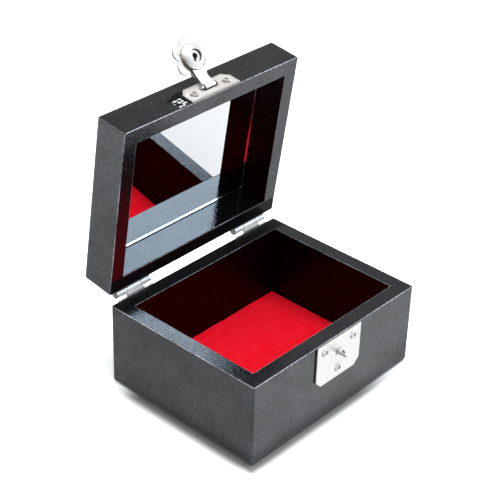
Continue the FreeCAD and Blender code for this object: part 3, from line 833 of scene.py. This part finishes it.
dress(["pearl_inlay_top"], pearl_finish("mother_of_pearl", 2.2, quiet))
print("pearl inlay dressed")

# %% [markdown]
# Beside the hasp plate lie offcuts of the shell, among the strokes of black paint. Each is a
# six-cornered sliver: a circle of six points, its corners moved about, pulled long, and raised
# by the thickness of the shell. Bevel breaks its edges. The slivers are laid out on the shut
# lid, in millimetres: their middle as x and z, their length, their width and how far they lean,
# in degrees. Then they are swung open with it.

# %% Slivers of shell
slivers = [((-19.2, 46.35), 2.9, 0.85, 3), ((-16.4, 46.5), 2.5, 0.8, -9), ((-18.1, 44.7), 2.1, 1.3, -35),
           ((-16.3, 44.9), 1.7, 1.2, 17), ((-16.4, 43.3), 2.8, 0.9, 3), ((-19.7, 42.2), 2.1, 1.0, 3),
           ((-17.7, 42.2), 1.6, 1.0, 20), ((-20.9, 44.7), 0.7, 0.6, -7)]
first_seed = 3
chips = [swing_open.inverted() @ v.co for v in nodes["pearl_chips_front"].data.vertices]
chips_out, chips_in = min(v.y for v in chips), max(v.y for v in chips)
pieces = []
for number, (middle, length, width, lean) in enumerate(slivers):
    bpy.ops.mesh.primitive_circle_add(vertices=6, radius=0.5, fill_type="NGON")
    piece = bpy.context.object
    bpy.ops.object.mode_set(mode="EDIT")
    bpy.ops.mesh.select_all(action="SELECT")
    bpy.ops.transform.vertex_random(offset=0.13, seed=number + first_seed)
    bpy.ops.object.mode_set(mode="OBJECT")
    for corner in piece.data.vertices:
        corner.co.z = 0.0
    place = Vector((middle[0] / 1000, chips_in, middle[1] / 1000))
    stand = Matrix.Translation(place) @ Matrix.Rotation(math.pi / 2, 4, "X")
    stretch = Matrix.Diagonal((length / 1000, width / 1000, 1.0, 1.0))
    piece.matrix_world = stand @ Matrix.Rotation(math.radians(lean), 4, "Z") @ stretch
    freeze(piece)
    pieces.append(piece)
print("slivers cut:", len(pieces), "each", round((chips_in - chips_out) * 1000, 2), "mm thick")


# %% Join and raise the slivers
def pick(*chosen):
    """Picks these pieces and no others. The first is the one that is worked on."""
    bpy.ops.object.select_all(action="DESELECT")
    for piece in chosen:
        piece.select_set(True)
    bpy.context.view_layer.objects.active = chosen[0]


def apply_all(piece):
    bpy.context.view_layer.objects.active = piece
    for modifier in list(piece.modifiers):
        bpy.ops.object.modifier_apply(modifier=modifier.name)


pick(*pieces)
bpy.ops.object.join()
shell = pieces[0]
shell.name = "shell_slivers"
bpy.ops.object.mode_set(mode="EDIT")
bpy.ops.mesh.select_all(action="SELECT")
bpy.ops.mesh.extrude_region_move(TRANSFORM_OT_translate={"value": (0, chips_out - chips_in, 0)})
bpy.ops.mesh.select_all(action="SELECT")
bpy.ops.mesh.normals_make_consistent(inside=False)
bpy.ops.object.mode_set(mode="OBJECT")
broken = shell.modifiers.new("broken_edge", "BEVEL")
broken.width = 0.00004
broken.segments = 1
apply_all(shell)
shell.matrix_world = swing_open
freeze(shell)
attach(shell, "lid")
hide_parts("pearl_chips_front")
shell.data.materials.clear()
shell.data.materials.append(pearl_finish("mother_of_pearl_slivers", 1.0, lively))
print("slivers have", len(shell.data.polygons), "faces")

# %% [markdown]
# ## The felt lining
# A rectangle of red wool felt is cut a little smaller than the floor and laid on the glue. It
# is thick for cloth, with a cut edge that is slightly rounded and a surface that isn't quite
# level. A plane is cut to its flat size, divided, raised and lowered by a soft cloud texture,
# then thickened with Solidify and its edge rounded with Bevel.

# %% Felt sheet
felt_low, felt_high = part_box("felt_floor_pad")
felt_flat = (felt_high.x - felt_low.x, felt_high.y - felt_low.y)
felt_thick = 0.0011
felt_cuts = 70
felt_middle = (felt_low + felt_high) / 2
felt_place = (felt_middle.x, felt_middle.y, felt_low.z + felt_thick)
bpy.ops.mesh.primitive_plane_add(size=1.0, location=felt_place)
felt = bpy.context.object
felt.name = "felt_lining"
felt.scale = (felt_flat[0], felt_flat[1], 1.0)
freeze(felt)
bpy.ops.object.mode_set(mode="EDIT")
bpy.ops.mesh.subdivide(number_cuts=felt_cuts)
bpy.ops.object.mode_set(mode="OBJECT")
print("felt cut to", [round(v * 1000, 1) for v in felt_flat], "mm")

# %% Felt surface
hills = bpy.data.textures.new("felt_hills", "CLOUDS")
hills.noise_scale = 0.009
hills.noise_depth = 2
swell = felt.modifiers.new("swell", "DISPLACE")
swell.texture = hills
swell.texture_coords = "LOCAL"
swell.strength = 0.00045
swell.mid_level = 0.5
thicken = felt.modifiers.new("thicken", "SOLIDIFY")
thicken.thickness = felt_thick
thicken.offset = -1.0
soften = felt.modifiers.new("soften", "BEVEL")
soften.width = 0.0003
soften.segments = 2
soften.limit_method = "ANGLE"
apply_all(felt)
bpy.ops.object.shade_smooth_by_angle(angle=math.radians(50))
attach(felt, "base")
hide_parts("felt_floor_pad")
print("felt has", len(felt.data.polygons), "faces")


# %% [markdown]
# Felt is pressed fibres with no weave. Close up it shows short tangled hairs, and from a little
# way off a soft mottling where the nap lies this way or that. Sheen gives the red rim of light
# that dyed hairs make, and a very rough surface keeps it dull.

# %% Felt finish
def felt_finish():
    finish = Finish("red_felt")
    place = finish.place_mm()
    twist = finish.cloud(place, 2.2)
    hairs = finish.node(
        "ShaderNodeTexWave",
        {"bands_direction": "DIAGONAL"},
        {"Vector": place, "Scale": 0.9, "Distortion": 30.0, "Detail": 4.0, "Detail Scale": 1.6},
    )
    nap = finish.cloud(place, 6.0, 3.0, 0.6)
    fluff = finish.cloud(place, 0.5, 3.0, 0.7)
    red = finish.blend(finish.rise(nap, 0.3, 0.7), (0.97, 0.002, 0.014), (1.0, 0.014, 0.030))
    red = finish.blend(finish.rise(fluff, 0.65, 0.25) * 0.4, red, (0.80, 0.001, 0.010))
    return finish.shown_by(finish.shader(
        Base_Color=red,
        Roughness=0.95,
        Specular_IOR_Level=0.02,
        Sheen_Weight=1.0,
        Sheen_Roughness=0.6,
        Sheen_Tint=(1.0, 0.03, 0.07),
        Normal=finish.bump(hairs * 0.4 + fluff * 0.8 + twist * 0.4, 0.00020, 0.5),
    ))


felt.data.materials.append(felt_finish())
print("felt dressed")

# %% [markdown]
# ## The rosette of the turn knob
# The knob is a stamped rosette of six lobes with a bead on each, and a hollow boss in the
# middle over the tip of the catch pin. It is drawn lying flat, with the middle at the origin
# and its outer face up. One lobe's arc is cut from a circle: a first cut takes away the side
# next to the middle, and two more part it from its neighbours. Spin copies that arc six times
# round. The cuts have to be exact to a hair, or the arcs' ends don't meet and no face fills
# them. The closed outline is filled, raised to the thickness of the sheet, and inset twice,
# which leaves a rolled rim.

# %% Measures of the rosette, in metres
lobes = 6
lobe_radius = 0.00365
lobe_circle = 0.0063
lobe_phase = math.radians(86.0)
sheet_thick = 0.0008
bead_radius = 0.0015
bead_rise = 0.0002
boss_radius = 0.0037
boss_height = 0.00155
seat_radius = 0.00305
hollow_radius = 0.00245
hollow_depth = 0.00085
half_lobe = math.pi / lobes
hair = 0.000001
print("rosette is", round(2000 * (lobe_circle + lobe_radius), 2), "mm across")


# %% Outline of six lobes
def open_for_edit(piece):
    pick(piece)
    bpy.ops.object.mode_set(mode="EDIT")
    bpy.ops.mesh.select_all(action="SELECT")


bpy.ops.mesh.primitive_circle_add(vertices=64, radius=lobe_radius, location=(lobe_circle, 0, 0))
rosette = bpy.context.object
rosette.name = "stamped_rosette"
freeze(rosette)
open_for_edit(rosette)
inner_cut = (lobe_circle * 0.82, 0, 0)
bpy.ops.mesh.bisect(plane_co=inner_cut, plane_no=(1, 0, 0), clear_inner=True, threshold=hair)
for side_of in (-1, 1):
    bpy.ops.mesh.select_all(action="SELECT")
    across = (math.sin(half_lobe), side_of * math.cos(half_lobe), 0)
    bpy.ops.mesh.bisect(plane_co=(0, 0, 0), plane_no=across, clear_inner=True, threshold=hair)
bpy.ops.mesh.select_all(action="SELECT")
bpy.ops.mesh.spin(steps=lobes, dupli=True, angle=2 * math.pi, center=(0, 0, 0), axis=(0, 0, 1))
bpy.ops.mesh.select_all(action="SELECT")
bpy.ops.mesh.remove_doubles(threshold=10 * hair)
bpy.ops.mesh.edge_face_add()
bpy.ops.object.mode_set(mode="OBJECT")
print("outline points:", len(rosette.data.vertices), "faces:", len(rosette.data.polygons))

# %% Sheet with a rolled rim
rim_width, roll_width, roll_depth = 0.00035, 0.0003, 0.00022
open_for_edit(rosette)
bpy.ops.mesh.extrude_region_move(TRANSFORM_OT_translate={"value": (0, 0, sheet_thick)})
bpy.ops.mesh.inset(thickness=rim_width, depth=0.0)
bpy.ops.mesh.inset(thickness=roll_width, depth=-roll_depth)
bpy.ops.mesh.select_all(action="SELECT")
bpy.ops.mesh.normals_make_consistent(inside=False)
bpy.ops.object.mode_set(mode="OBJECT")
print("sheet faces:", len(rosette.data.polygons))

# %% [markdown]
# The beads are pressed bosses. Each is turned from a ball flattened to a lens that stands a
# little proud of both faces. The boss is a short cylinder with a stepped and rounded top.
# Booleans join them to the sheet and then bore the seat for the hub and the hollow over the
# pin, because that is how the parts meet on the real knob.

# %% Beads
def join_by(piece, tool, operation):
    change = piece.modifiers.new("cut", "BOOLEAN")
    change.operation = operation
    change.solver = "EXACT"
    change.object = tool
    apply_all(piece)
    bpy.data.objects.remove(tool)


bead_circle = lobe_circle + lobe_radius * 0.12
for index in range(lobes):
    angle = 2 * half_lobe * index
    place = (bead_circle * math.cos(angle), bead_circle * math.sin(angle), sheet_thick / 2)
    bpy.ops.mesh.primitive_uv_sphere_add(segments=28, ring_count=14, radius=bead_radius, location=place)
    bead = bpy.context.object
    bead.scale = (1, 1, (sheet_thick / 2 + bead_rise) / bead_radius)
    freeze(bead)
    join_by(rosette, bead, "UNION")
print("with beads:", len(rosette.data.polygons), "faces")


# %% Boss and bore
def rod(radius, low, high):
    """A round rod along the knob's line, from one level to another."""
    middle = (0, 0, (low + high) / 2)
    bpy.ops.mesh.primitive_cylinder_add(vertices=72, radius=radius, depth=high - low, location=middle)
    return bpy.context.object


boss = rod(boss_radius, 0.0, sheet_thick + boss_height)
freeze(boss)
pick_faces(boss, Vector((0, 0, 1)))
for step, rise in ((0.0005, 0.0), (0.0004, -0.00025), (0.0008, 0.00015)):
    bpy.ops.mesh.inset(thickness=step, depth=rise)
bpy.ops.object.mode_set(mode="OBJECT")
join_by(rosette, boss, "UNION")
join_by(rosette, rod(seat_radius, -0.001, sheet_thick), "DIFFERENCE")
join_by(rosette, rod(hollow_radius, 0.0, sheet_thick + hollow_depth), "DIFFERENCE")
print("bored:", len(rosette.data.polygons), "faces")

# %% Soft edges
soften = rosette.modifiers.new("soften", "BEVEL")
soften.width = 0.00012
soften.segments = 2
soften.limit_method = "ANGLE"
soften.angle_limit = math.radians(40)
apply_all(rosette)
pick(rosette)
bpy.ops.object.shade_smooth_by_angle(angle=math.radians(35))
print("rosette:", len(rosette.data.polygons), "faces")

# %% [markdown]
# The flat drawing now goes to its place on the strap. The knob's joint gives the line that it
# turns on, and the frame's own plain rosette says how far along that line the sheet starts.

# %% Set the rosette in place
knob = next(j for j in frame["joints"] if j["name"] == "knob_turn")
pivot = Vector(knob["pos_m"])
outward = -Vector(knob["axis"]).normalized()
levels = [(v.co - pivot).dot(outward) for v in nodes["rosette_knob"].data.vertices]
foot = pivot + outward * (min(levels) + bead_rise)
across = Vector((1, 0, 0))
upright = Matrix((across, outward.cross(across), outward)).transposed().to_4x4()
rosette.matrix_world = Matrix.Translation(foot) @ upright @ Matrix.Rotation(-lobe_phase, 4, "Z")
freeze(rosette)
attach(rosette, "knob")
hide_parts("rosette_knob")
rosette.data.materials.clear()
stamped = nickel("nickel_stamped_rosette", warm, 0.24, finest, sheet=tuple(outward))
rosette.data.materials.append(stamped)
print("rosette stands", round(min(levels) * 1000, 2), "mm along its line")
